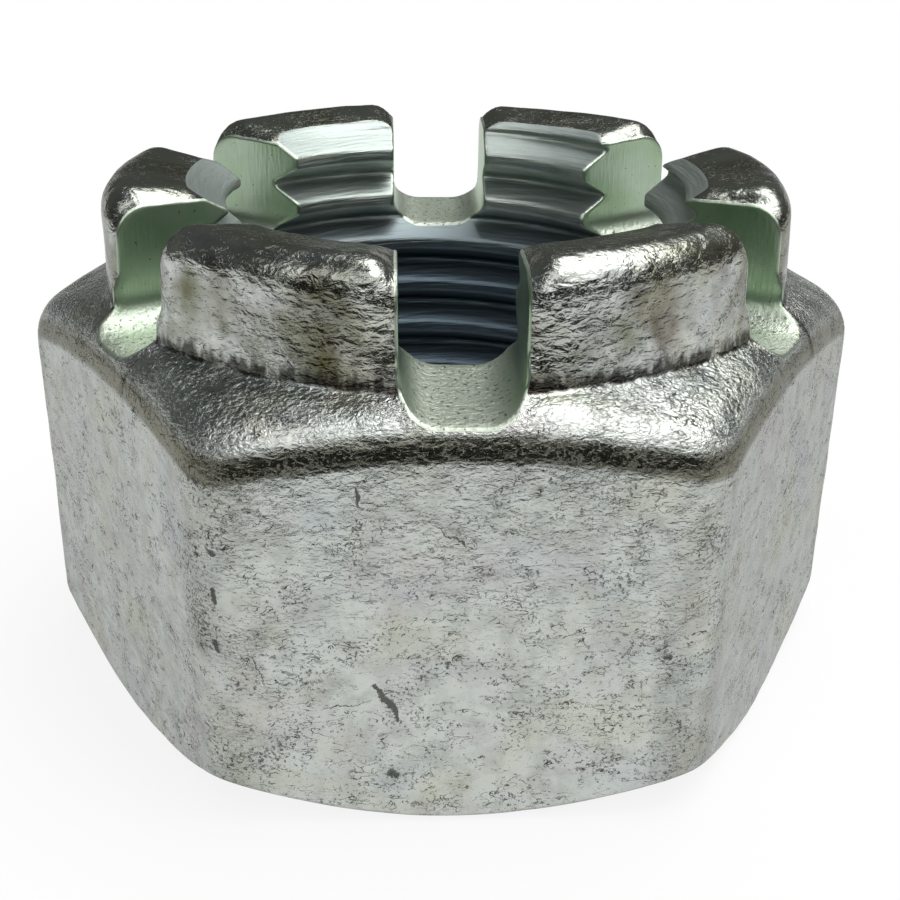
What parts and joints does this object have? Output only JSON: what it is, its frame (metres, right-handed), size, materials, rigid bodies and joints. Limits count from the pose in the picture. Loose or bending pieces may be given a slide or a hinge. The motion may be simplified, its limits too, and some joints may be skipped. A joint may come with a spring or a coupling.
{
  "type": "castle nut",
  "caption": "Castle nut: hexagonal steel nut with a round crown cut by split-pin slots over its flats, and an internal thread.",
  "frame": {"origin": "centre of the bearing face, where the thread axis meets the surface it stands on", "axes": "+Z along the thread axis from the bearing face to the crown; +Y and -Y square to two flats; a corner of the hexagon on +X"},
  "size_m": [0.0566, 0.05, 0.0345],
  "materials": {
    "zinc_plated_steel": "zinc plated over a forged skin, with machined slots and thread"
  },
  "bodies": {
    "root": {"castle_nut": "zinc_plated_steel"}
  },
  "joints": []
}
